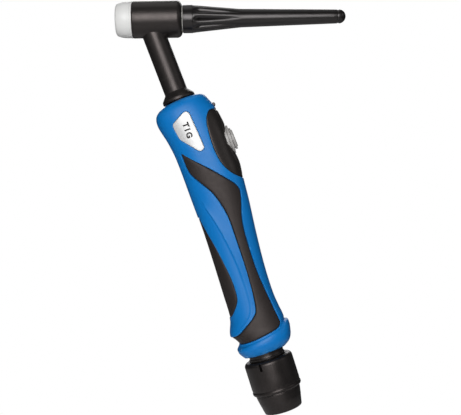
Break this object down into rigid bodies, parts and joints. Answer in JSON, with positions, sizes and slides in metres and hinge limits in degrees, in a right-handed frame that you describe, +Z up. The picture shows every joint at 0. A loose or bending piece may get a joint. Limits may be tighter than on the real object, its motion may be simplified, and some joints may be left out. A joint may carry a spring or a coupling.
{
  "type": "tig torch",
  "caption": "Hand welding torch: head with long fluted back cap on a flexible neck, two-half ergonomic handle with push button, cable cuff on a ball joint.",
  "frame": {"origin": "the middle of the handle's grip, on the plane between its two halves, where a hand closes round it", "axes": "+Z up with the torch upright, its neck and handle leaning; head axis along X, electrode side at -X and back cap at +X; +Y across the handle, out of its right half"},
  "size_m": [0.1641, 0.0386, 0.2944],
  "materials": {
    "blue_shell": "satin moulded",
    "grip_rubber": "fine spark texture",
    "neck_rubber": "smooth satin",
    "head_moulding": "satin moulded",
    "gasket_white": "waxy",
    "seal_pale": "smooth",
    "badge_silver": "brushed foil",
    "black_plastic": "satin moulded",
    "cuff_plastic": "satin moulded",
    "button_grey": "satin moulded",
    "switch_plastic": "matt",
    "white_plastic": "matt",
    "clamp_rubber": "matt",
    "wire_sheath": "smooth",
    "brass": "machined",
    "copper_tube": "drawn copper",
    "steel": "zinc plated"
  },
  "bodies": {
    "handle": {"handle_shell_left": "blue_shell", "handle_shell_right": "blue_shell", "side_grip_left": "grip_rubber", "side_grip_right": "grip_rubber", "spine_grip": "grip_rubber", "badge_left": "badge_silver", "badge_right": "badge_silver", "handle_screw_1": "steel", "handle_screw_2": "steel", "handle_screw_3": "steel", "switch_housing": "black_plastic", "housing_latch": "black_plastic", "button_bezel": "black_plastic", "button_spring": "steel", "microswitch": "switch_plastic", "switch_carrier": "black_plastic", "switch_terminal_a": "brass", "switch_terminal_b": "brass", "switch_wire_a": "wire_sheath", "switch_wire_b": "wire_sheath", "wire_plug": "white_plastic", "neck_boot": "neck_rubber", "neck_sleeve_4": "neck_rubber", "neck_tube_5": "copper_tube", "body_tube": "copper_tube", "tube_clamp": "black_plastic", "tail_nut": "brass", "tail_nipple": "brass"},
    "neck_lower": {"neck_tube_4": "copper_tube", "neck_sleeve_3": "neck_rubber"},
    "neck_middle": {"neck_tube_3": "copper_tube", "neck_sleeve_2": "neck_rubber"},
    "neck_upper": {"neck_tube_2": "copper_tube", "neck_sleeve_1": "neck_rubber"},
    "head": {"head_shell": "head_moulding", "head_core": "brass", "cup_gasket": "gasket_white", "neck_tube_1": "copper_tube"},
    "cap_seal": {"cap_oring": "seal_pale"},
    "back_cap": {"back_cap": "head_moulding"},
    "button": {"push_button": "button_grey"},
    "plunger": {"switch_plunger": "white_plastic"},
    "ball_liner": {"ball_liner": "white_plastic"},
    "ball": {"ball_joint": "cuff_plastic"},
    "cuff": {"cuff_upper": "cuff_plastic", "cuff_lower": "cuff_plastic", "cuff_clamp_ring": "clamp_rubber"}
  },
  "joints": [
    {"name": "neck_pitch_lower", "type": "hinge", "parent": "handle", "child": "neck_lower", "pos_m": [-0.03524, 0, 0.09695], "axis": [0, 1, 0], "range_deg": [-15, 15], "deforming": ["neck_sleeve_4"]},
    {"name": "neck_yaw_lower", "type": "hinge", "parent": "neck_lower", "child": "neck_middle", "pos_m": [-0.03832, 0, 0.10541], "axis": [0.9397, 0, 0.342], "range_deg": [-15, 15], "deforming": ["neck_sleeve_3"]},
    {"name": "neck_pitch_upper", "type": "hinge", "parent": "neck_middle", "child": "neck_upper", "pos_m": [-0.0414, 0, 0.11387], "axis": [0, 1, 0], "range_deg": [-15, 15], "deforming": ["neck_sleeve_2"]},
    {"name": "neck_yaw_upper", "type": "hinge", "parent": "neck_upper", "child": "head", "pos_m": [-0.04448, 0, 0.12233], "axis": [0.9397, 0, 0.342], "range_deg": [-15, 15], "deforming": ["neck_sleeve_1"]},
    {"name": "cap_advance", "type": "slide", "parent": "head", "child": "cap_seal", "axis": [1, 0, 0], "range_m": [0, 0.005]},
    {"name": "cap_turn", "type": "hinge", "parent": "cap_seal", "child": "back_cap", "pos_m": [-0.052, 0, 0.143], "axis": [1, 0, 0], "range_deg": [0, 1440]},
    {"name": "button_press", "type": "slide", "parent": "handle", "child": "button", "axis": [-0.9511, 0, -0.309], "range_m": [0, 0.0014], "stiffness_N_per_m": 600, "springref_m": -0.002, "deforming": ["button_spring"]},
    {"name": "plunger_press", "type": "slide", "parent": "handle", "child": "plunger", "axis": [-0.9511, 0, -0.309], "range_m": [0, 0.0014]},
    {"name": "cuff_tilt", "type": "hinge", "parent": "handle", "child": "ball_liner", "pos_m": [0.02555, 0, -0.08864], "axis": [0, 1, 0], "range_deg": [-9, 9]},
    {"name": "cuff_sway", "type": "hinge", "parent": "ball_liner", "child": "ball", "pos_m": [0.02555, 0, -0.08864], "axis": [0.9583, 0, 0.2857], "range_deg": [-9, 9]},
    {"name": "cuff_swivel", "type": "hinge", "parent": "ball", "child": "cuff", "pos_m": [0.02555, 0, -0.08864], "axis": [0.2857, 0, -0.9583], "continuous": true}
  ],
  "couplings": [
    {"joint": "neck_pitch_upper", "follows": "neck_pitch_lower", "ratio": 1},
    {"joint": "neck_yaw_upper", "follows": "neck_yaw_lower", "ratio": 1},
    {"joint": "cap_turn", "follows": "cap_advance", "rad_per_m": 5026.5},
    {"joint": "plunger_press", "follows": "button_press", "ratio": 1}
  ]
}
